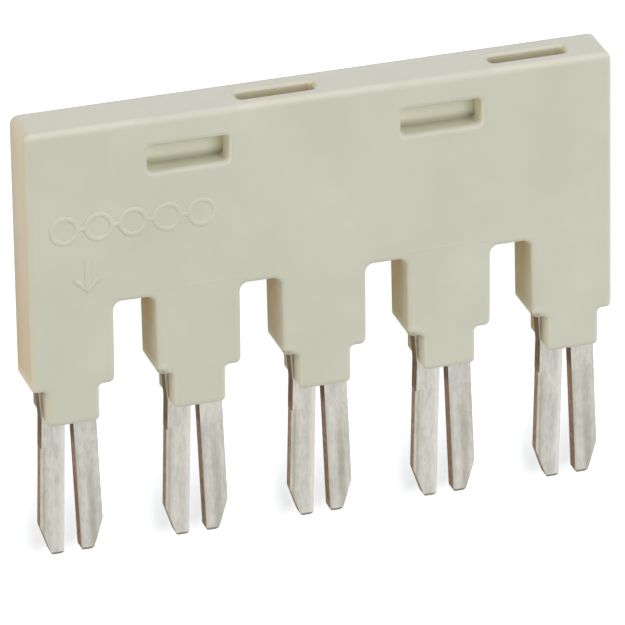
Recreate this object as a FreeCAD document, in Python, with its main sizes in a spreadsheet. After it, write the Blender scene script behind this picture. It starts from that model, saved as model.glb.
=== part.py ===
import FreeCAD, Part
import os
import re

import Sketcher

# Five-pole jumper bar for rail-mounted terminal blocks, lying on its back.
# X runs along the bar, +Y points from the tine tips to the top face, +Z out of the front face.
# The origin is the middle of the bounding box in X and Y, on the back face.
# Sizes are millimetres. Heights named "_drop" are measured down from the top face.

SIZES = {
    "pitch": 6.0,                  # pole to pole
    "poles": 5,
    "overall_height": 21.7,        # top face to the tips of the tines
    "end_margin": 1.93,            # outer pole to the end face of the cover
    "cover_thickness": 2.4,
    "gap_top_drop": 8.88,          # top of the gaps between the legs
    "leg_drop": 12.88,             # shoulders at the foot of each leg
    "neck_drop": 14.69,            # lower end of the sleeve round each fork
    "gap_top_width": 1.94,
    "gap_mouth_width": 2.0,
    "gap_corner": 0.4,
    "neck_width": 2.5,
    "top_corner": 0.4,
    "leg_corner": 0.28,
    "neck_corner": 0.25,
    "shoulder_corner": 0.2,
    "front_edge": 0.3,             # rounding of the front face's top and end edges
    "leg_edge": 0.2,               # rounding of the front edges round the legs
    # Two blind recesses in the front face, each just left of a pole.
    "recess_width": 3.83,
    "recess_height": 1.28,
    "recess_depth": 1.0,
    "recess_top_drop": 1.39,
    "recess_corner": 0.18,
    "recess_rim": 0.14,            # bevel round the mouth of each recess
    "recess_shift": -0.3,
    # Two narrow slots in the top face.
    "slot_length": 3.64,
    "slot_width": 0.88,
    "slot_depth": 2.0,
    "slot_setback": 1.18,          # front face to the middle of the slot
    "slot_corner": 0.22,
    "slot_shift": -1.84,
    "slot_rim": 0.12,              # bevel round the mouth of each slot
    # Comb stamped from tinned copper strip, moulded into the cover.
    "comb_thickness": 0.7,
    "comb_setback": 0.95,          # front face of the cover to the front of the comb
    "fit_gap": 0.02,               # shrinkage gap between the moulding and the comb
    "bus_top_drop": 3.4,
    "bus_height": 4.8,
    "bus_overhang": 1.42,          # outer pole to the end of the bus
    "root_width": 2.84,            # stem inside the leg
    "blade_width": 2.58,           # across both tines at the lower end of the sleeve
    "tine_gap": 0.38,              # between the tines at the lower end of the sleeve
    "tine_gap_drop": 13.5,         # closed end of the gap between the tines
    "splay": 1.9,                  # outward lean of each tine, degrees
    "tip_width": 0.56,
    "tip_height": 1.5,             # length of the tapered tip
    "tip_corner": 0.18,
    "taper_corner": 0.4,
    "lead_in_length": 0.16,        # bevel on both faces at the very tip
    "lead_in_depth": 0.12,
    # The contact edge of each tine is coined to a bevel on both faces.
    "coin_drop": 16.15,
    "coin_width": 0.36,
    "coin_depth": 0.1,
    "coin_swell": 0.02,
}

# Recesses and slots come in pairs two poles apart, counted from pole 0 at the left.
PITCHES_BETWEEN_RECESSES = 2
RECESS_FIRST_POLE = 1
SLOT_FIRST_POLE = 2

# Edges are found by their place to within this distance.
CLOSE = 1e-4

document = FreeCAD.newDocument("jumper_bar")
sheet = document.addObject("Spreadsheet::Sheet", "sizes")
for row, (alias, value) in enumerate(SIZES.items(), start=1):
    sheet.set("A%d" % row, alias)
    sheet.set("B%d" % row, str(value))
    sheet.setAlias("B%d" % row, alias)
document.recompute()


def size(expression):
    """Value of an expression in the sheet's aliases, such as 'pitch / 2'."""
    return float(sheet.evalExpression(with_sheet(expression)))


def with_sheet(expression):
    """The expression with every alias written as a reference to the sheet."""
    def reference(word):
        return "sizes." + word.group() if word.group() in SIZES else word.group()
    return re.sub("[a-z_]+", reference, expression)


def lean(upper, lower):
    """Outward travel of a tine's edge from the upper to the lower of two heights."""
    return "(%s - (%s)) * tan(splay)" % (upper, lower)


# Places along X.
FIRST_POLE = "(0 - pitch * (poles - 1) / 2)"
HALF_LENGTH = "(pitch * (poles - 1) / 2 + end_margin)"

# Heights along Y.
TOP = "overall_height / 2"
GAP_TOP = TOP + " - gap_top_drop"
LEG_END = TOP + " - leg_drop"
NECK_END = TOP + " - neck_drop"
TIP = "(0 - overall_height / 2)"
BUS_TOP = TOP + " - bus_top_drop"
BUS_END = BUS_TOP + " - bus_height"
TINE_GAP_END = TOP + " - tine_gap_drop"
COIN_TOP = TOP + " - coin_drop"
TAPER_TOP = TIP + " + tip_height"

# Edges of the right tine, measured from the middle of its fork.
TINE_INNER_AT_TIP = "tine_gap / 2 + " + lean(NECK_END, TIP)
TINE_OUTER_AT_COIN = "blade_width / 2 + " + lean(NECK_END, COIN_TOP)
TINE_OUTER_AT_TAPER = "blade_width / 2 + coin_swell + " + lean(NECK_END, TAPER_TOP)

# Levels along Z.
COMB_BACK = "cover_thickness - comb_setback - comb_thickness"
COMB_FRONT = "cover_thickness - comb_setback"


def new_body(label):
    """A body whose label names its STEP file."""
    body = document.addObject("PartDesign::Body", label)
    body.Label = label
    return body


def origin_feature(body, role):
    """The body's own origin plane or axis of that role."""
    for feature in body.Origin.OriginFeatures:
        if feature.Role == role:
            return feature
    raise ValueError("the body has no " + role)


def bind(target, path, expression):
    """Ties a property of an object to the sheet."""
    target.setExpression(path, with_sheet(expression))


def new_sketch(body, name, role="XY_Plane", offset=None):
    """An empty sketch on an origin plane, moved along its normal by an expression."""
    sketch = body.newObject("Sketcher::SketchObject", name)
    sketch.AttachmentSupport = [(origin_feature(body, role), "")]
    sketch.MapMode = "FlatFace"
    if offset:
        bind(sketch, "AttachmentOffset.Base.z", offset)
    return sketch


def add_outline(sketch, corners):
    """A closed outline whose corners are held at the given x and y expressions."""
    points = [FreeCAD.Vector(size(x), size(y), 0) for x, y in corners]
    first = sketch.GeometryCount
    count = len(points)
    for index in range(count):
        sketch.addGeometry(Part.LineSegment(points[index], points[(index + 1) % count]), False)
    for index in range(count):
        following = first + (index + 1) % count
        sketch.addConstraint(Sketcher.Constraint("Coincident", first + index, 2, following, 1))
    for index, (x, y) in enumerate(corners):
        held = [("DistanceX", x, points[index].x), ("DistanceY", y, points[index].y)]
        for kind, expression, value in held:
            number = sketch.addConstraint(Sketcher.Constraint(kind, -1, 1, first + index, 1, value))
            bind(sketch, "Constraints[%d]" % number, expression)


def rectangle(left, right, low, high):
    """Corners of an upright rectangle."""
    return [(left, low), (right, low), (right, high), (left, high)]


def mirrored_outline(right_side):
    """Corners of an outline that is the same on both sides of x = 0."""
    left_side = [("- (%s)" % x, y) for x, y in reversed(right_side)]
    return right_side + left_side


def moved(corners, shift):
    """The corners moved along X by an expression."""
    return [("%s + %s" % (x, shift), y) for x, y in corners]


def pad(body, sketch, name, length):
    """Adds material from the sketch along its normal."""
    feature = body.newObject("PartDesign::Pad", name)
    feature.Profile = sketch
    bind(feature, "Length", length)
    document.recompute()
    return feature


def pocket(body, sketch, name, length, along_normal=True):
    """Cuts the sketch out of the body, along its normal or against it, and checks that it cut."""
    before = body.Shape.Volume
    feature = body.newObject("PartDesign::Pocket", name)
    feature.Profile = sketch
    feature.Reversed = along_normal
    bind(feature, "Length", length)
    document.recompute()
    if feature.Shape.Volume >= before:
        raise RuntimeError(name + " cut nothing")
    return feature


def repeat(body, features, name, length, occurrences):
    """The features repeated along X, with the bound total length and number of copies."""
    pattern = body.newObject("PartDesign::LinearPattern", name)
    pattern.Originals = features
    pattern.Direction = (origin_feature(body, "X_Axis"), [""])
    bind(pattern, "Length", length)
    bind(pattern, "Occurrences", occurrences)
    body.Tip = pattern
    document.recompute()


def edge_names(feature, chosen):
    """Names of the feature's edges for which the test holds."""
    names = []
    for number, edge in enumerate(feature.Shape.Edges, start=1):
        if chosen(edge):
            names.append("Edge%d" % number)
    return names


def round_edges(body, name, radius, chosen):
    """A fillet of the bound radius on the chosen edges of the body's tip."""
    dress_edges(body, "PartDesign::Fillet", name, "Radius", radius, chosen)


def bevel_edges(body, name, setback, chosen):
    """A chamfer of the bound setback on the chosen edges of the body's tip."""
    dress_edges(body, "PartDesign::Chamfer", name, "Size", setback, chosen)


def dress_edges(body, kind, name, measure, expression, chosen):
    """A fillet or chamfer on the chosen edges, with its one measure bound."""
    base = body.Tip
    dressing = body.newObject(kind, name)
    dressing.Base = (base, edge_names(base, chosen))
    bind(dressing, measure, expression)
    body.Tip = dressing
    document.recompute()


def upright_at(places):
    """Test for edges along Z that stand at one of the (x, y) places."""
    def chosen(edge):
        box = edge.BoundBox
        if box.XLength > CLOSE or box.YLength > CLOSE:
            return False
        return any(abs(box.XMin - x) < CLOSE and abs(box.YMin - y) < CLOSE for x, y in places)
    return chosen


def flat_at(height):
    """Test for edges that lie at one Z."""
    def chosen(edge):
        return abs(edge.BoundBox.ZMin - height) < CLOSE and abs(edge.BoundBox.ZMax - height) < CLOSE
    return chosen


def every_pole(places):
    """The places, given for the pole at x = 0, at each pole."""
    poles = int(size("poles"))
    first = size(FIRST_POLE)
    return [(x + first + size("pitch") * pole, y) for pole in range(poles) for x, y in places]


def make_cover():
    """Moulded cover: plate with gaps and legs, sleeves, recesses, slots and the comb's cavity."""
    cover = new_body("insulating_cover")

    plate = new_sketch(cover, "plate_outline")
    add_outline(plate, rectangle("-%s" % HALF_LENGTH, HALF_LENGTH, LEG_END, TOP))
    pad(cover, plate, "plate", "cover_thickness")
    round_plate(cover)

    gap_middle = FIRST_POLE + " + pitch / 2"
    gap = new_sketch(cover, "gap_outline")
    gap_side = [("gap_mouth_width / 2", LEG_END), ("gap_top_width / 2", GAP_TOP)]
    add_outline(gap, moved(mirrored_outline(gap_side), gap_middle))
    gap_cut = pocket(cover, gap, "gap", "cover_thickness")
    repeat(cover, [gap_cut], "gaps", "pitch * (poles - 2)", "poles - 1")

    neck = new_sketch(cover, "neck_outline")
    neck_corners = rectangle("- neck_width / 2", "neck_width / 2", NECK_END, LEG_END)
    add_outline(neck, moved(neck_corners, FIRST_POLE))
    neck_pad = pad(cover, neck, "neck", "cover_thickness")
    repeat(cover, [neck_pad], "necks", "pitch * (poles - 1)", "poles")

    round_legs(cover)
    cut_recesses(cover)
    cut_top_slots(cover)
    cut_comb_cavity(cover)
    return cover


def round_plate(cover):
    """Rounds the plate's upper corners and the front edges along its top and its ends."""
    end = size(HALF_LENGTH)
    top = size(TOP)
    leg_end = size(LEG_END)
    front = flat_at(size("cover_thickness"))
    round_edges(cover, "top_corners", "top_corner", upright_at([(-end, top), (end, top)]))
    round_edges(cover, "front_rounding", "front_edge",
                lambda edge: front(edge) and edge.BoundBox.YMax > leg_end + CLOSE)


def round_legs(cover):
    """Rounds the corners of the gaps, legs and sleeves, and then the front edges round them."""
    leg_end = size(LEG_END)
    gap_top = size(GAP_TOP)
    neck = size("neck_width / 2")
    mouth = size("(pitch - gap_mouth_width) / 2")
    gap_edge = size("(pitch - gap_top_width) / 2")
    leg_feet = every_pole([(-mouth, leg_end), (mouth, leg_end)])[1:-1]
    gap_corners = every_pole([(-gap_edge, gap_top), (gap_edge, gap_top)])[1:-1]
    neck_feet = every_pole([(-neck, size(NECK_END)), (neck, size(NECK_END))])
    shoulders = every_pole([(-neck, leg_end), (neck, leg_end)])
    round_edges(cover, "gap_corners", "gap_corner", upright_at(gap_corners))
    round_edges(cover, "leg_corners", "leg_corner", upright_at(leg_feet))
    round_edges(cover, "neck_corners", "neck_corner", upright_at(neck_feet))
    round_edges(cover, "shoulder_corners", "shoulder_corner", upright_at(shoulders))
    front = flat_at(size("cover_thickness"))
    round_edges(cover, "leg_rounding", "leg_edge",
                lambda edge: front(edge) and edge.BoundBox.YMax < gap_top + CLOSE)


def cut_recesses(cover):
    """Two blind rectangular recesses in the front face."""
    middle = "%s + pitch * %d + recess_shift" % (FIRST_POLE, RECESS_FIRST_POLE)
    low = TOP + " - recess_top_drop - recess_height"
    high = TOP + " - recess_top_drop"
    outline = new_sketch(cover, "recess_outline", offset="cover_thickness - recess_depth")
    corners = rectangle("- recess_width / 2", "recess_width / 2", low, high)
    add_outline(outline, moved(corners, middle))
    recess = pocket(cover, outline, "recess", "recess_depth")
    spacing = "pitch * %d" % PITCHES_BETWEEN_RECESSES
    repeat(cover, [recess], "recesses", spacing, "2")

    half = size("recess_width / 2")
    left = size(middle)
    step = size(spacing)
    places = []
    for x in (left - half, left + half, left + step - half, left + step + half):
        places += [(x, size(low)), (x, size(high))]
    round_edges(cover, "recess_corners", "recess_corner", upright_at(places))
    front = size("cover_thickness")

    def rim(edge):
        inside = edge.BoundBox.YMin > size(low) - CLOSE and edge.BoundBox.YMax < size(high) + CLOSE
        return inside and flat_at(front)(edge) and edge.BoundBox.XMin > left - half - CLOSE \
            and edge.BoundBox.XMax < left + step + half + CLOSE
    bevel_edges(cover, "recess_rims", "recess_rim", rim)


def cut_top_slots(cover):
    """Two narrow blind slots in the top face."""
    middle = "%s + pitch * %d + slot_shift" % (FIRST_POLE, SLOT_FIRST_POLE)
    back = "cover_thickness - slot_setback - slot_width / 2"
    front = "cover_thickness - slot_setback + slot_width / 2"
    outline = new_sketch(cover, "slot_outline", "XZ_Plane", "- (%s - slot_depth)" % TOP)
    add_outline(outline, moved(rectangle("- slot_length / 2", "slot_length / 2", back, front), middle))
    slot = pocket(cover, outline, "slot", "slot_depth", along_normal=False)
    spacing = "pitch * %d" % PITCHES_BETWEEN_RECESSES
    repeat(cover, [slot], "slots", spacing, "2")

    low = size(TOP) - size("slot_depth")
    half = size("slot_length / 2")
    left = size(middle)
    step = size(spacing)
    ends = [left - half, left + half, left + step - half, left + step + half]

    def corner(edge):
        box = edge.BoundBox
        upright = box.XLength < CLOSE and box.ZLength < CLOSE and abs(box.YMin - low) < CLOSE
        return upright and any(abs(box.XMin - x) < CLOSE for x in ends)
    round_edges(cover, "slot_corners", "slot_corner", corner)

    def rim(edge):
        box = edge.BoundBox
        level = box.YLength < CLOSE and abs(box.YMin - size(TOP)) < CLOSE
        inside = box.ZMin > size(back) - CLOSE and box.ZMax < size(front) + CLOSE
        return level and inside and box.XMin > left - half - CLOSE and box.XMax < left + step + half + CLOSE
    bevel_edges(cover, "slot_rims", "slot_rim", rim)


def cut_comb_cavity(cover):
    """Cavity that the moulding leaves round the comb, open at the feet of the sleeves."""
    floor = COMB_BACK + " - fit_gap"
    depth = "comb_thickness + fit_gap * 2"
    bus_end = "pitch * (poles - 1) / 2 + bus_overhang + fit_gap"
    bus = new_sketch(cover, "bus_cavity_outline", offset=floor)
    corners = rectangle("- (%s)" % bus_end, bus_end, BUS_END + " - fit_gap", BUS_TOP + " + fit_gap")
    add_outline(bus, corners)
    pocket(cover, bus, "bus_cavity", depth)

    stem = new_sketch(cover, "stem_cavity_outline", offset=floor)
    stem_side = [
        ("blade_width / 2 + fit_gap", NECK_END),
        ("root_width / 2 + fit_gap", LEG_END),
        ("root_width / 2 + fit_gap", BUS_END),
    ]
    add_outline(stem, moved(mirrored_outline(stem_side), FIRST_POLE))
    stem_cut = pocket(cover, stem, "stem_cavity", depth)
    repeat(cover, [stem_cut], "stem_cavities", "pitch * (poles - 1)", "poles")


def make_comb():
    """Stamped comb: bus strip, stems and splayed forks with coined contact edges."""
    comb = new_body("contact_comb")

    bus_end = "pitch * (poles - 1) / 2 + bus_overhang"
    bus = new_sketch(comb, "bus_outline", offset=COMB_BACK)
    add_outline(bus, rectangle("- (%s)" % bus_end, bus_end, BUS_END, BUS_TOP))
    pad(comb, bus, "bus", "comb_thickness")

    fork = new_sketch(comb, "fork_outline", offset=COMB_BACK)
    fork_side = [
        ("tine_gap / 2 - " + lean(TINE_GAP_END, NECK_END), TINE_GAP_END),
        (TINE_INNER_AT_TIP, TIP),
        (TINE_INNER_AT_TIP + " + tip_width", TIP),
        (TINE_OUTER_AT_TAPER, TAPER_TOP),
        (TINE_OUTER_AT_COIN + " + coin_swell", COIN_TOP),
        (TINE_OUTER_AT_COIN, COIN_TOP),
        ("blade_width / 2", NECK_END),
        ("root_width / 2", LEG_END),
        ("root_width / 2", BUS_END),
    ]
    add_outline(fork, moved(mirrored_outline(fork_side), FIRST_POLE))
    fork_pad = pad(comb, fork, "fork", "comb_thickness")
    coined = [cut_coin(comb, 1, "right"), cut_coin(comb, -1, "left")]
    repeat(comb, [fork_pad] + coined, "forks", "pitch * (poles - 1)", "poles")
    round_fork_corners(comb)
    cut_lead_ins(comb)
    return comb


def cut_coin(comb, side, name):
    """Bevels along the outer edge of one tine, on the front and the back face."""
    outline = new_sketch(comb, name + "_coin_section", "XZ_Plane", "- (%s)" % COIN_TOP)
    lean_of_tine = FreeCAD.Rotation(FreeCAD.Vector(0, side, 0), size("splay"))
    outline.AttachmentOffset = FreeCAD.Placement(FreeCAD.Vector(0, 0, 0), lean_of_tine)
    edge_x = "%s + %d * (%s + coin_swell)" % (FIRST_POLE, side, TINE_OUTER_AT_COIN)
    bind(outline, "AttachmentOffset.Base.x", edge_x)
    bind(outline, "AttachmentOffset.Rotation.Angle", "splay")
    inner = "- %d * coin_width" % side
    outer = "%d * coin_width / 4" % side
    front_bevel = COMB_FRONT + " - coin_depth * 5 / 4"
    back_bevel = COMB_BACK + " + coin_depth * 5 / 4"
    add_outline(outline, [(inner, COMB_FRONT), (outer, front_bevel), (outer, COMB_FRONT)])
    add_outline(outline, [(inner, COMB_BACK), (outer, back_bevel), (outer, COMB_BACK)])
    return pocket(comb, outline, name + "_coin", "overall_height - coin_drop + coin_width")


def round_fork_corners(comb):
    """Rounds the closed end of each fork's gap, the tips and the start of each taper."""
    inner_tip = size(TINE_INNER_AT_TIP)
    outer_tip = inner_tip + size("tip_width")
    gap_end = size("tine_gap / 2 - " + lean(TINE_GAP_END, NECK_END))
    taper = size(TINE_OUTER_AT_TAPER)
    tip = size(TIP)
    tips = [(-outer_tip, tip), (-inner_tip, tip), (inner_tip, tip), (outer_tip, tip)]
    round_edges(comb, "tip_corners", "tip_corner", upright_at(every_pole(tips)))
    gap_corners = [(-gap_end, size(TINE_GAP_END)), (gap_end, size(TINE_GAP_END))]
    round_edges(comb, "tine_gap_ends", "tine_gap / 3", upright_at(every_pole(gap_corners)))
    tapers = [(-taper, size(TAPER_TOP)), (taper, size(TAPER_TOP))]
    round_edges(comb, "taper_corners", "taper_corner", upright_at(every_pole(tapers)))


def cut_lead_ins(comb):
    """Bevels the very tips of the tines on the front and the back face."""
    outline = new_sketch(comb, "lead_in_outline", "YZ_Plane", "- " + HALF_LENGTH)
    start = TIP + " + lead_in_length"
    past = TIP + " - lead_in_length"
    front_bevel = COMB_FRONT + " - lead_in_depth * 2"
    back_bevel = COMB_BACK + " + lead_in_depth * 2"
    add_outline(outline, [(start, COMB_FRONT), (past, COMB_FRONT), (past, front_bevel)])
    add_outline(outline, [(start, COMB_BACK), (past, COMB_BACK), (past, back_bevel)])
    pocket(comb, outline, "lead_ins", HALF_LENGTH + " * 2")


def check_document():
    """Stops the build when any object or sub-part shape has failed."""
    for item in document.Objects:
        if "Invalid" in item.State or "Error" in item.State:
            raise RuntimeError("%s failed: %s" % (item.Name, item.State))


def export(body):
    """Writes one sub-part to its STEP file."""
    if body.Shape.isNull() or not body.Shape.isValid():
        raise RuntimeError(body.Label + " has no valid shape")
    if len(body.Shape.Solids) != 1:
        raise RuntimeError(body.Label + " is not one solid")
    body.Shape.exportStep("parts/%s.step" % body.Label)
    print(body.Label, "volume %.2f mm3" % body.Shape.Volume)


cover = make_cover()
comb = make_comb()
document.recompute()
check_document()
os.makedirs("parts", exist_ok=True)
for sub_part in (cover, comb):
    export(sub_part)
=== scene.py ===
import math

import bpy
from mathutils import Matrix, Vector


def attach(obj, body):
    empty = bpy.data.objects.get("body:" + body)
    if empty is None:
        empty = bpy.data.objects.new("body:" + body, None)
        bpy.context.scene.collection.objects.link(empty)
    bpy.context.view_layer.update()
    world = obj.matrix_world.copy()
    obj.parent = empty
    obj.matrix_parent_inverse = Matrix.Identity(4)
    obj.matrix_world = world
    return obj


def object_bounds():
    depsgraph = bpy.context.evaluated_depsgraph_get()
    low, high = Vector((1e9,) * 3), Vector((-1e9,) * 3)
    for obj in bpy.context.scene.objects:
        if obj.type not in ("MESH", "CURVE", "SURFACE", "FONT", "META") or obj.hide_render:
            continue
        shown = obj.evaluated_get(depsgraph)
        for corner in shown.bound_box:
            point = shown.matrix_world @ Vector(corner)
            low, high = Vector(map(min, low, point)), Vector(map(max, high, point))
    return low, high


# Looks of the jumper bar: a comb of forked contacts in a moulded cover, lying on its back.
# Metres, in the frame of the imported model: X along the bar, +Y to its top face, +Z out of its front.

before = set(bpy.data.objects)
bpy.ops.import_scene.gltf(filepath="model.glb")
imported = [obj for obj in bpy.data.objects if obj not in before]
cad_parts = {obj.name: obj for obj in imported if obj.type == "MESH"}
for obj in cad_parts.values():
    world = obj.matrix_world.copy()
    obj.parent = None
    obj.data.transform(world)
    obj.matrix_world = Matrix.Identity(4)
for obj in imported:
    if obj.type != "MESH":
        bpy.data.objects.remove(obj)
cad_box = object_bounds()

POLES = 5
PITCH = 0.006
RECESS_MIDDLE = 0.0057       # X of the second recess; the first is two pitches to its left
SLEEVE_END = -0.00384        # Y of the lower end of the sleeves
COINED_EDGE = 0.00131        # from a pole to the line of a tine's coined outer edge, at SLEEVE_END
TINE_LEAN = math.tan(math.radians(1.9))

# Each pair below gives the two ends of a smooth change in the painted light and shade.
# Pairs along Y.
ABOVE_GAPS = (0.002, 0.004)
UP_RECESS_FLOOR = (0.00822, 0.00867)
DOWN_END_FACE = (-0.005, 0.0095)
SHOULDER = (-0.00215, -0.00205)
LEG_FOOT = (-0.0019, -0.0013)
COIN_TOP = (-0.0058, -0.0048)
SHEARED_EDGE_DARKENS = (-0.0056, -0.0048)
STREAK_FADES = (-0.0085, -0.0055)
# Pairs along Z, from the back face to the front face.
OFF_HOLLOW_BACK = (0.0003, 0.0012)
TO_HOLLOW_FRONT = (0.0012, 0.0023)
TO_LEG_FRONT = (0.0008, 0.0021)
TO_SLEEVE_FRONT = (0.0017, 0.0021)
TO_FIRST_SLEEVE_FRONT = (0.0017, 0.0023)
# Pairs along X, and pairs of distances to either side of a middle.
TO_FIRST_POLE = (-0.0125, -0.012)
TO_END_FACE = (0.0132, 0.0137)
TO_RECESS_SIDE = (0.0012, 0.0018)
PAST_RECESS = (0.0022, 0.0026)
BETWEEN_TINES = (PITCH / 4 - 0.00005, PITCH / 4 + 0.00005)

# Painted shade and highlights along the coined bevels of the tines, each by its distance from the tine's
# outer edge.
STREAK_MIDDLE = 0.00048
STREAK_SIDE = (0.00004, 0.0003)
THIN_LINE_MIDDLE = 0.00016
THIN_LINE_SIDE = (0.00002, 0.00011)
DARK_INNER_EDGE = (0.0009, 0.00112)
BRIGHT_INNER_EDGE = (0.00075, 0.0011)

# Fine line that the mould leaves, just above the gaps.
WITNESS_LINE = 0.00232
WITNESS_LINE_SIDE = (0.00001, 0.00007)
WITNESS_LINE_ENDS = (0.0018, 0.0026)

# How far shade reaches in hollows and creases, and how widely edges are softened.
HOLLOW_REACH = 0.0024
CREASE_REACH = 0.0006
COVER_EDGE = 0.00025
COMB_EDGE = 0.00005

# Raised figures on the front face.
STROKE_WIDTH = 0.00026
STROKE_HEIGHT = 0.00005
SIGN_START = -0.0122
SIGN_PITCH = 0.00162
SIGN_LINE = 0.0059
RING_RADIUS = 0.0006
ARROW_LINE = -0.0112
ARROW_TOP = 0.0044
ARROW_LENGTH = 0.0016
ARROW_HEAD = 0.0006

# The floor lies a hair below the cover's back face, so that the two never share a plane.
FLOOR_LEVEL = -0.00001
FLOOR_HALF = 1.5
TIP_SHADOW = (-0.0125, -0.0065)


def linear(red, green, blue):
    """Scene-linear colour of an sRGB colour given from 0 to 255."""
    channels = []
    for value in (red, green, blue):
        share = value / 255
        channels.append(share / 12.92 if share <= 0.04045 else ((share + 0.055) / 1.055) ** 2.4)
    return (*channels, 1.0)


class Nodes:
    """A material's node tree with short calls for adding and joining nodes."""

    def __init__(self, name):
        self.material = bpy.data.materials.new(name)
        self.material.use_nodes = True
        self.tree = self.material.node_tree
        self.tree.nodes.clear()
        self.output = self.add("ShaderNodeOutputMaterial")

    def add(self, kind, **settings):
        node = self.tree.nodes.new(kind)
        for key, value in settings.items():
            setattr(node, key, value)
        return node

    def join(self, source, target):
        self.tree.links.new(source, target)

    def noise(self, vector, scale, detail, roughness=0.55, stretch=None):
        """Noise in the part's own space; stretch scales X, Y and Z apart."""
        if stretch:
            mapping = self.add("ShaderNodeMapping")
            mapping.inputs["Scale"].default_value = stretch
            self.join(vector, mapping.inputs["Vector"])
            vector = mapping.outputs["Vector"]
        noise = self.add("ShaderNodeTexNoise")
        noise.inputs["Scale"].default_value = scale
        noise.inputs["Detail"].default_value = detail
        noise.inputs["Roughness"].default_value = roughness
        self.join(vector, noise.inputs["Vector"])
        return noise.outputs["Fac"]

    def ramp(self, value, ends, dark, light):
        """Colour that goes evenly from dark to light as the value goes from one end to the other."""
        ramp = self.add("ShaderNodeValToRGB")
        stops = ramp.color_ramp.elements
        stops[0].position, stops[1].position = ends
        stops[0].color = dark
        stops[1].color = light
        self.join(value, ramp.inputs["Fac"])
        return ramp.outputs["Color"]

    def spread(self, value, ends, at_low, at_high):
        """Number that goes smoothly from at_low to at_high as the value goes between the two ends."""
        spread = self.add("ShaderNodeMapRange", interpolation_type="SMOOTHSTEP")
        spread.inputs["From Min"].default_value = ends[0]
        spread.inputs["From Max"].default_value = ends[1]
        spread.inputs["To Min"].default_value = at_low
        spread.inputs["To Max"].default_value = at_high
        self.join(value, spread.inputs["Value"])
        return spread.outputs["Result"]

    def mix(self, share, first, second):
        """Blend of two colours by a share from 0 to 1."""
        mix = self.add("ShaderNodeMix", data_type="RGBA")
        self.join(share, mix.inputs["Factor"])
        # Inputs 6 and 7 and output 2 are the ones for colours.
        for socket, colour in ((mix.inputs[6], first), (mix.inputs[7], second)):
            if isinstance(colour, tuple):
                socket.default_value = colour
            else:
                self.join(colour, socket)
        return mix.outputs[2]

    def axes(self, vector):
        """The X, Y and Z of a vector."""
        parts = self.add("ShaderNodeSeparateXYZ")
        self.join(vector, parts.inputs["Vector"])
        return parts.outputs["X"], parts.outputs["Y"], parts.outputs["Z"]

    def math(self, operation, *operands):
        """Result of an operation on sockets and plain numbers."""
        node = self.add("ShaderNodeMath", operation=operation)
        for socket, operand in zip(node.inputs, operands):
            if isinstance(operand, (int, float)):
                socket.default_value = operand
            else:
                self.join(operand, socket)
        return node.outputs[0]

    def product(self, first, *others):
        """All the operands multiplied together."""
        for other in others:
            first = self.math("MULTIPLY", first, other)
        return first

    def distance(self, value, middle):
        """How far the value is from the middle, to either side."""
        return self.math("ABSOLUTE", self.math("SUBTRACT", value, middle))

    def rounded(self, radius):
        """Shading normals that turn smoothly over every edge within the radius."""
        bevel = self.add("ShaderNodeBevel", samples=8)
        bevel.inputs["Radius"].default_value = radius
        return bevel.outputs["Normal"]

    def openness(self, reach):
        """From 0 in a closed corner of the piece to 1 in the open, looking as far as the reach."""
        occlusion = self.add("ShaderNodeAmbientOcclusion", samples=16, only_local=True)
        occlusion.inputs["Distance"].default_value = reach
        return occlusion.outputs["AO"]

    def bump(self, height, distance, strength, under):
        """The normals under the bump, tilted by its height."""
        bump = self.add("ShaderNodeBump")
        bump.inputs["Distance"].default_value = distance
        bump.inputs["Strength"].default_value = strength
        self.join(height, bump.inputs["Height"])
        self.join(under, bump.inputs["Normal"])
        return bump.outputs["Normal"]


class Surface:
    """Where a point of a piece lies, which way it looks, and how squarely it looks along Z."""

    def __init__(self, nodes):
        coordinates = nodes.add("ShaderNodeTexCoord")
        self.place = coordinates.outputs["Object"]
        self.along, self.up, self.height = nodes.axes(self.place)
        self.normal_x, self.normal_y, self.normal_z = nodes.axes(coordinates.outputs["Normal"])
        self.facing = nodes.math("ABSOLUTE", self.normal_z)


class CoverSurface(Surface):
    """A point of the cover, and how it lies to the middle of the bar, the gaps and the recesses."""

    def __init__(self, nodes):
        super().__init__(nodes)
        self.sideways = nodes.math("ABSOLUTE", self.normal_x)
        self.beside = nodes.math("ABSOLUTE", self.along)
        self.above_gaps = nodes.spread(self.up, ABOVE_GAPS, 0.0, 1.0)
        # The recesses are two pitches apart, so the distance turns back after one pitch.
        past_middle = nodes.math("SUBTRACT", self.along, RECESS_MIDDLE)
        self.from_recess = nodes.math("PINGPONG", past_middle, PITCH)
        near_recess = nodes.spread(self.from_recess, PAST_RECESS, 1.0, 0.0)
        self.by_recess = nodes.product(self.above_gaps, near_recess)


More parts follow.
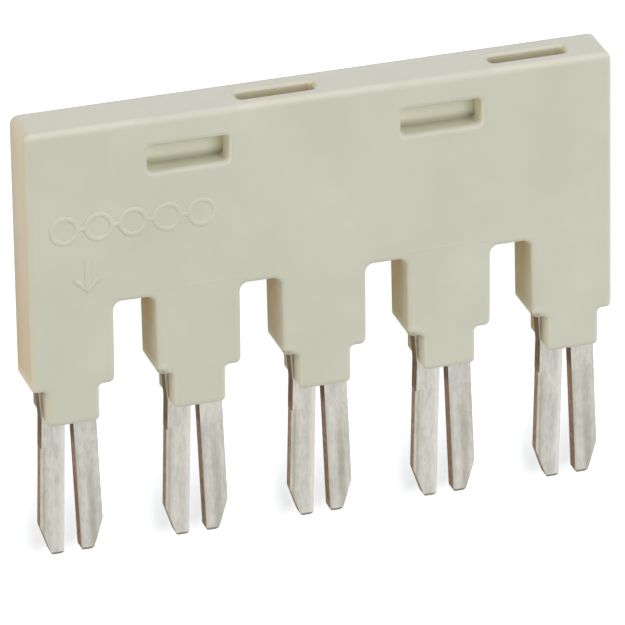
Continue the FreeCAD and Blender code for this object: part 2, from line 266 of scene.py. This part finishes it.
def moulded_polyamide(name, edge_radius):
    """Warm light grey moulded plastic with faint flow clouds and a fine spark-eroded grain.

    Light and shade in the hollows and creases, on the legs and sleeves and on the edges are painted into
    its colour.
    """
    nodes = Nodes(name)
    surface = CoverSurface(nodes)
    clouds = nodes.noise(surface.place, scale=260, detail=5.0)
    # Painted shade: where the piece is closed in, the colour goes over to the painted light and shade of
    # the hollows.
    deep = nodes.spread(nodes.openness(HOLLOW_REACH), (0.25, 0.95), 1.0, 0.0)
    colour = nodes.mix(deep, skin_colour_and_side_shade(nodes, surface, clouds), hollow_light_and_shade(nodes, surface))
    colour = paint_crease_shade(nodes, surface, colour)
    colour = paint_leg_and_sleeve_shading(nodes, surface, colour)
    colour = paint_edge_highlights(nodes, surface, colour)
    shader = nodes.add("ShaderNodeBsdfPrincipled")
    nodes.join(colour, shader.inputs["Base Color"])
    nodes.join(nodes.spread(clouds, (0.3, 0.7), 0.46, 0.58), shader.inputs["Roughness"])
    shader.inputs["IOR"].default_value = 1.5
    shader.inputs["Specular IOR Level"].default_value = 0.35
    nodes.join(mould_relief(nodes, surface, edge_radius), shader.inputs["Normal"])
    nodes.join(shader.outputs["BSDF"], nodes.output.inputs["Surface"])
    return nodes.material


def skin_colour_and_side_shade(nodes, surface, clouds):
    """Colour in the open: clouded faces, and painted light and shade on the sides.

    Painted shade turns legs' sides tan towards the back, and the ends are warm with painted light and
    darker low down with painted shade.
    """
    skin = nodes.ramp(clouds, (0.3, 0.72), linear(198, 198, 183), linear(206, 206, 192))
    # Painted shade: legs' sides are tan towards the back and paler towards the front.
    near_front = nodes.spread(surface.height, TO_LEG_FRONT, 0.0, 1.0)
    side = nodes.mix(near_front, linear(196, 181, 138), linear(213, 210, 191))
    # Painted light and shade on the ends: warm, and darker low down.
    low_down = nodes.spread(surface.up, DOWN_END_FACE, 1.0, 0.0)
    end = nodes.mix(low_down, linear(202, 196, 176), linear(199, 184, 156))
    at_end = nodes.spread(surface.beside, TO_END_FACE, 0.0, 1.0)
    on_side = nodes.product(surface.sideways, nodes.spread(surface.facing, (0.0, 0.5), 1.0, 0.0))
    return nodes.mix(on_side, skin, nodes.mix(at_end, side, end))


def hollow_light_and_shade(nodes, surface):
    """Painted light and shade deep in the gaps, recesses and slots.

    Light that passes through the plastic is painted as tan on the side walls of the gaps, and painted
    brown shade lies on the other walls near the back. The slots' side walls stay an olive painted shade,
    the recesses' are pale with painted light, recess floors are painted darker towards their lower wall,
    and everything is painted lighter towards the front.
    """
    side_wall = nodes.mix(surface.above_gaps, linear(207, 174, 98), linear(186, 186, 160))
    near_back = nodes.spread(surface.height, OFF_HOLLOW_BACK, 1.0, 0.0)
    other_wall = nodes.mix(near_back, linear(198, 196, 172), linear(208, 183, 146))
    # Painted shade: a recess floor is darker towards its lower wall.
    up_floor = nodes.spread(surface.up, UP_RECESS_FLOOR, 0.0, 1.0)
    recess_floor = nodes.mix(up_floor, linear(150, 146, 122), linear(216, 214, 194))
    on_floor = nodes.product(surface.by_recess, surface.facing)
    other_wall = nodes.mix(on_floor, other_wall, recess_floor)
    hollow = nodes.mix(surface.sideways, other_wall, side_wall)
    # Painted light: the hollows are lighter towards the front.
    near_front = nodes.spread(surface.height, TO_HOLLOW_FRONT, 0.0, 1.0)
    hollow = nodes.mix(near_front, hollow, linear(222, 220, 196))
    # Painted light: the sides of a recess are pale.
    on_recess_side = nodes.product(surface.by_recess, surface.sideways)
    return nodes.mix(on_recess_side, hollow, linear(250, 248, 236))


def paint_crease_shade(nodes, surface, colour):
    """The colour with painted shade in tight corners, fainter on front faces and at the sides of a
    recess.
    """
    crease = nodes.spread(nodes.openness(CREASE_REACH), (0.25, 0.85), 0.6, 0.0)
    fainter = nodes.spread(surface.facing, (0.3, 0.8), 1.0, 0.55)
    to_side = nodes.spread(surface.from_recess, TO_RECESS_SIDE, 0.0, 0.8)
    off_recess_side = nodes.spread(nodes.product(surface.by_recess, to_side), (0.0, 1.0), 1.0, 0.0)
    shade = nodes.mix(surface.sideways, linear(140, 136, 108), linear(150, 118, 80))
    return nodes.mix(nodes.product(crease, fainter, off_recess_side), colour, shade)


def paint_leg_and_sleeve_shading(nodes, surface, colour):
    """The colour with painted light on the feet of the legs and the sides of the sleeves, and a first
    sleeve in brown painted shade.
    """
    on_leg = nodes.spread(surface.up, SHOULDER, 0.0, 1.0)
    on_sleeve = nodes.spread(surface.up, SHOULDER, 1.0, 0.0)
    on_first = nodes.spread(surface.along, TO_FIRST_POLE, 1.0, 0.0)
    past_first = nodes.spread(surface.along, TO_FIRST_POLE, 0.0, 1.0)
    foot = nodes.product(on_leg, nodes.spread(surface.up, LEG_FOOT, 0.4, 0.0))
    cheek = nodes.product(on_sleeve, nodes.spread(surface.height, TO_SLEEVE_FRONT, 0.0, 0.4), past_first)
    # Painted light on the legs' feet and on the fronts of the sleeves' sides.
    pale = nodes.product(nodes.math("ADD", foot, cheek), surface.sideways)
    colour = nodes.mix(pale, colour, linear(245, 240, 222))
    # Painted shade on the first sleeve's side, brown towards the back.
    off_front = nodes.spread(surface.height, TO_FIRST_SLEEVE_FRONT, 0.6, 0.0)
    brown = nodes.product(on_sleeve, off_front, on_first, surface.sideways)
    return nodes.mix(brown, colour, linear(96, 72, 46))


def paint_edge_highlights(nodes, surface, colour):
    """The colour with painted highlights that make rounded edges paler, palest on the upper and right
    rims of a recess.
    """
    off_sides = nodes.spread(surface.facing, (0.05, 0.4), 0.0, 1.0)
    off_front = nodes.spread(surface.facing, (0.75, 0.99), 1.0, 0.0)
    turned = nodes.math("ADD", surface.normal_x, surface.normal_y)
    # Painted highlight on the rims of a recess, by which way each rim turns.
    rim = nodes.product(surface.by_recess, nodes.spread(turned, (-0.6, 0.6), 0.35, -0.15))
    edge_highlight_share = nodes.product(off_sides, off_front, nodes.math("ADD", rim, 0.25))
    return nodes.mix(edge_highlight_share, colour, linear(238, 234, 218))


def mould_relief(nodes, surface, edge_radius):
    """Normals with soft edges, low waves, grain, and the witness line over two of the legs."""
    waves = nodes.noise(surface.place, scale=420, detail=2.0)
    relief = nodes.bump(waves, distance=0.00003, strength=0.25, under=nodes.rounded(edge_radius))
    on_line = nodes.spread(nodes.distance(surface.up, WITNESS_LINE), WITNESS_LINE_SIDE, 1.0, 0.0)
    # The second and fourth legs stand one pitch from the middle of the bar.
    on_leg = nodes.spread(nodes.distance(surface.beside, PITCH), WITNESS_LINE_ENDS, 1.0, 0.0)
    line = nodes.product(on_line, on_leg)
    relief = nodes.bump(line, distance=0.00001, strength=0.5, under=relief)
    grain = nodes.noise(surface.place, scale=5200, detail=3.0)
    return nodes.bump(grain, distance=0.000006, strength=0.6, under=relief)


def tinned_copper():
    """Satin tin on the strip's faces, with coined bevels and bronze-brown sheared edges."""
    nodes = Nodes("tinned_copper")
    surface = Surface(nodes)
    along_tines = (1.0, 0.3, 1.0)
    drawn = nodes.noise(surface.place, scale=1300, detail=7.0, roughness=0.72, stretch=along_tines)
    scratches = nodes.noise(surface.place, scale=7000, detail=3.0, roughness=0.7, stretch=along_tines)
    specks = nodes.noise(surface.place, scale=3800, detail=3.0)
    sheared = nodes.spread(surface.facing, (0.5, 0.9), 1.0, 0.0)
    plated = nodes.spread(surface.facing, (0.5, 0.9), 0.65, 1.0)
    face = tin_colour(nodes, surface, nodes.math("ADD", drawn, scratches))
    colour = nodes.mix(sheared, face, sheared_colour(nodes, surface, specks))
    # The lead-in at the tips faces down and gets a duller, darker grey of painted shade.
    at_tip = nodes.spread(surface.normal_y, (-0.55, -0.3), 1.0, 0.0)
    colour = nodes.mix(at_tip, colour, linear(132, 125, 115))
    shader = nodes.add("ShaderNodeBsdfPrincipled")
    nodes.join(plated, shader.inputs["Metallic"])
    shader.inputs["Specular IOR Level"].default_value = 0.0
    shader.inputs["Specular Tint"].default_value = (0.8, 0.69, 0.57, 1.0)
    nodes.join(colour, shader.inputs["Base Color"])
    nodes.join(nodes.spread(drawn, (0.3, 0.7), 0.3, 0.44), shader.inputs["Roughness"])
    relief = nodes.bump(specks, distance=0.00002, strength=0.3, under=nodes.rounded(COMB_EDGE))
    nodes.join(relief, shader.inputs["Normal"])
    nodes.join(shader.outputs["BSDF"], nodes.output.inputs["Surface"])
    return nodes.material


def tin_colour(nodes, surface, drawing):
    """Colour of the plated faces: the drawn grain, a little duller on bevels, and painted shade and
    highlights along the coined bevels.
    """
    shade = nodes.spread(drawing, (0.75, 1.25), 0.0, 1.0)
    tin = nodes.mix(shade, linear(184, 183, 175), linear(204, 201, 191))
    coined = nodes.mix(shade, linear(183, 179, 168), linear(202, 198, 187))
    flat = nodes.spread(surface.facing, (0.94, 0.99), 0.0, 1.0)
    shade_marks, highlight_marks = tine_bevel_shading(nodes, surface)
    colour = nodes.mix(shade_marks, nodes.mix(flat, coined, tin), linear(140, 134, 118))
    return nodes.mix(highlight_marks, colour, linear(232, 229, 220))


def tine_bevel_shading(nodes, surface):
    """Shares of painted shade and of painted highlights along the tines' coined bevels.

    A right tine has a broad dark streak and a dark inner edge of painted shade. A left tine has a thin
    dark line of painted shade by its outer edge and a painted highlight on its inner edge.
    """
    from_pole = nodes.math("PINGPONG", surface.along, PITCH / 2)
    lean = nodes.product(nodes.math("SUBTRACT", surface.up, SLEEVE_END), TINE_LEAN)
    from_edge = nodes.math("SUBTRACT", COINED_EDGE, nodes.math("ADD", lean, from_pole))
    # A right tine lies in the half pitch past its pole, whose middle is a quarter pitch past it.
    past_quarter = nodes.math("SUBTRACT", surface.along, PITCH / 4)
    from_right_half = nodes.math("PINGPONG", past_quarter, PITCH / 2)
    on_right = nodes.spread(from_right_half, BETWEEN_TINES, 1.0, 0.0)
    on_left = nodes.spread(from_right_half, BETWEEN_TINES, 0.0, 1.0)

    streak = nodes.spread(nodes.distance(from_edge, STREAK_MIDDLE), STREAK_SIDE, 1.0, 0.0)
    streak = nodes.product(streak, nodes.spread(surface.up, STREAK_FADES, 0.45, 0.18))
    dark_edge = nodes.spread(from_edge, DARK_INNER_EDGE, 0.0, 0.33)
    right_dark = nodes.product(nodes.math("ADD", streak, dark_edge), on_right)
    line = nodes.spread(nodes.distance(from_edge, THIN_LINE_MIDDLE), THIN_LINE_SIDE, 0.36, 0.0)
    left_dark = nodes.product(line, on_left)
    below_coin_top = nodes.spread(surface.up, COIN_TOP, 1.0, 0.0)
    dark = nodes.product(nodes.math("ADD", right_dark, left_dark), below_coin_top)
    bright = nodes.product(nodes.spread(from_edge, BRIGHT_INNER_EDGE, 0.0, 0.45), on_left)
    return dark, bright


def sheared_colour(nodes, surface, specks):
    """Bronze-brown of the sheared edges, darker with painted shade where they come near the sleeve."""
    tine = nodes.ramp(specks, (0.3, 0.7), linear(122, 100, 83), linear(158, 134, 114))
    stem = nodes.ramp(specks, (0.3, 0.7), linear(80, 62, 46), linear(106, 86, 64))
    return nodes.mix(nodes.spread(surface.up, SHEARED_EDGE_DARKENS, 0.0, 1.0), tine, stem)


def paint(piece, material):
    """Gives the piece one material."""
    piece.data.materials.clear()
    piece.data.materials.append(material)


def circle(centre, radius, steps=40):
    """Points around a circle on the front face."""
    turns = [2 * math.pi * step / steps for step in range(steps)]
    return [(centre[0] + radius * math.cos(turn), centre[1] + radius * math.sin(turn)) for turn in turns]


def raise_strokes(name, strokes):
    """Low rounded strokes that stand out of the front face; each is its points and whether it closes."""
    curve = bpy.data.curves.new(name, "CURVE")
    curve.dimensions = "3D"
    curve.bevel_depth = STROKE_WIDTH / 2
    curve.bevel_resolution = 4
    curve.use_fill_caps = True
    for points, closed in strokes:
        spline = curve.splines.new("POLY")
        spline.points.add(len(points) - 1)
        for point, (across, up) in zip(spline.points, points):
            point.co = (across, up, 0, 1)
        spline.use_cyclic_u = closed
    mesh = bpy.data.meshes.new_from_object(bpy.data.objects.new(name, curve))
    front_face = cad_box[1][2]
    flattened = Matrix.Diagonal((1, 1, STROKE_HEIGHT / (STROKE_WIDTH / 2), 1))
    mesh.transform(Matrix.Translation((0, 0, front_face)) @ flattened)
    mesh.shade_smooth()
    piece = bpy.data.objects.new(name, mesh)
    bpy.context.scene.collection.objects.link(piece)
    paint(piece, moulded_polyamide(name + "_polyamide", STROKE_HEIGHT))
    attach(piece, "root")


def make_bridge_sign():
    """Five small rings joined by links: the sign for five bridged poles, raised on the front face."""
    strokes = []
    for pole in range(POLES):
        centre = (SIGN_START + pole * SIGN_PITCH, SIGN_LINE)
        strokes.append((circle(centre, RING_RADIUS), True))
        if pole < POLES - 1:
            link = [(centre[0] + reach, SIGN_LINE) for reach in (RING_RADIUS, SIGN_PITCH - RING_RADIUS)]
            strokes.append((link, False))
    raise_strokes("bridge_sign", strokes)


def make_push_arrow():
    """Small raised arrow that shows which way the bar is pushed in."""
    tip = ARROW_TOP - ARROW_LENGTH
    barb = tip + ARROW_HEAD
    shaft = [(ARROW_LINE, ARROW_TOP), (ARROW_LINE, tip)]
    head = [(ARROW_LINE - ARROW_HEAD, barb), (ARROW_LINE, tip), (ARROW_LINE + ARROW_HEAD, barb)]
    raise_strokes("push_arrow", [(shaft, False), (head, False)])


def white_table():
    """Material of the floor: it glows for the camera and in reflections, and so shows as white."""
    nodes = Nodes("white_table")
    diffuse = nodes.add("ShaderNodeBsdfDiffuse")
    diffuse.inputs["Color"].default_value = (0.8, 0.8, 0.84, 1.0)
    glow = nodes.add("ShaderNodeEmission")
    glow.inputs["Color"].default_value = (0.88, 0.93, 1.0, 1.0)
    seen = nodes.add("ShaderNodeLightPath")
    shown = nodes.math("ADD", seen.outputs["Is Camera Ray"], seen.outputs["Is Glossy Ray"])
    shown = nodes.math("ADD", shown, seen.outputs["Is Transmission Ray"])
    # The glow is weaker by the tips of the forks, where the photograph keeps a soft shadow.
    up = nodes.axes(nodes.add("ShaderNodeTexCoord").outputs["Object"])[1]
    strength = nodes.spread(up, TIP_SHADOW, 0.42, 0.8)
    nodes.join(nodes.product(shown, strength), glow.inputs["Strength"])
    both = nodes.add("ShaderNodeAddShader")
    nodes.join(diffuse.outputs["BSDF"], both.inputs[0])
    nodes.join(glow.outputs["Emission"], both.inputs[1])
    nodes.join(both.outputs["Shader"], nodes.output.inputs["Surface"])
    return nodes.material


def make_floor():
    """White table that the bar lies on."""
    mesh = bpy.data.meshes.new("floor")
    quarters = ((-1, -1), (1, -1), (1, 1), (-1, 1))
    corners = [(FLOOR_HALF * x, FLOOR_HALF * y, FLOOR_LEVEL) for x, y in quarters]
    mesh.from_pydata(corners, [], [(0, 1, 2, 3)])
    floor = bpy.data.objects.new("floor", mesh)
    bpy.context.scene.collection.objects.link(floor)
    paint(floor, white_table())


def make_world():
    """White surroundings for the camera and in reflections, and warm light at a plain level."""
    world = bpy.data.worlds.new("studio")
    bpy.context.scene.world = world
    world.use_nodes = True
    tree = world.node_tree
    background = tree.nodes["Background"]
    seen = tree.nodes.new("ShaderNodeLightPath")
    shown = tree.nodes.new("ShaderNodeMath")
    shown.operation = "MAXIMUM"
    tree.links.new(seen.outputs["Is Camera Ray"], shown.inputs[0])
    tree.links.new(seen.outputs["Is Glossy Ray"], shown.inputs[1])
    light = tree.nodes.new("ShaderNodeMix")
    light.data_type = "RGBA"
    # Inputs 6 and 7 are the ones for colours.
    light.inputs[6].default_value = (0.522, 0.501, 0.407, 1.0)
    light.inputs[7].default_value = (1.0, 1.0, 1.0, 1.0)
    tree.links.new(shown.outputs[0], light.inputs["Factor"])
    tree.links.new(light.outputs[2], background.inputs["Color"])


def lamp(name, place, size, power, colour):
    """Square area lamp at a place, turned to the middle of the bar."""
    light = bpy.data.lights.new(name, "AREA")
    light.size = size
    light.energy = power
    light.color = colour
    lamp_object = bpy.data.objects.new(name, light)
    lamp_object.location = place
    lamp_object.rotation_mode = "QUATERNION"
    lamp_object.rotation_quaternion = (-Vector(place)).to_track_quat("-Z", "Y")
    bpy.context.scene.collection.objects.link(lamp_object)


def make_camera():
    """The photograph's camera: long lens, above the front face, turned to the left end and the top."""
    turn = math.radians(17.088)
    tilt = math.radians(25.767)
    roll = math.radians(0.972)
    distance = 0.3889
    focal_px = 8501.4
    image_px = 625
    target = Vector((0.0, 0.0009, 0.0013))
    target_px = Vector((317.6, 283.37))

    right = Vector((math.cos(turn), 0, math.sin(turn)))
    back = Vector((-math.sin(turn) * math.cos(tilt), math.sin(tilt), math.cos(turn) * math.cos(tilt)))
    up = back.cross(right)
    beside = (target_px.x - image_px / 2) / focal_px * distance
    below = (target_px.y - image_px / 2) / focal_px * distance
    camera = bpy.data.cameras.new("camera")
    camera.sensor_width = 36.0
    camera.lens = focal_px * camera.sensor_width / image_px
    camera.clip_start = 0.01
    camera.clip_end = 10.0
    camera_object = bpy.data.objects.new("camera", camera)
    place = target + back * distance - right * beside + up * below
    rolled_right = right * math.cos(roll) - up * math.sin(roll)
    rolled_up = right * math.sin(roll) + up * math.cos(roll)
    turned = Matrix((rolled_right, rolled_up, back)).transposed()
    camera_object.matrix_world = Matrix.Translation(place) @ turned.to_4x4()
    bpy.context.scene.collection.objects.link(camera_object)
    bpy.context.scene.camera = camera_object


paint(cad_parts["insulating_cover"], moulded_polyamide("moulded_polyamide", COVER_EDGE))
paint(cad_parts["contact_comb"], tinned_copper())
make_bridge_sign()
make_push_arrow()
make_floor()
make_world()
lamp("key", place=(0.13, 0.12, 0.3), size=0.25, power=0.728, colour=(0.852, 0.902, 1.0))
lamp("warm_fill", place=(-0.25, 0.16, 0.03), size=0.06, power=0.218, colour=(1.0, 0.775, 0.564))
lamp("top_light", place=(0.02, 0.34, 0.14), size=0.2, power=0.12, colour=(0.25, 0.35, 1.0))
make_camera()
bpy.context.scene.view_settings.view_transform = "Standard"
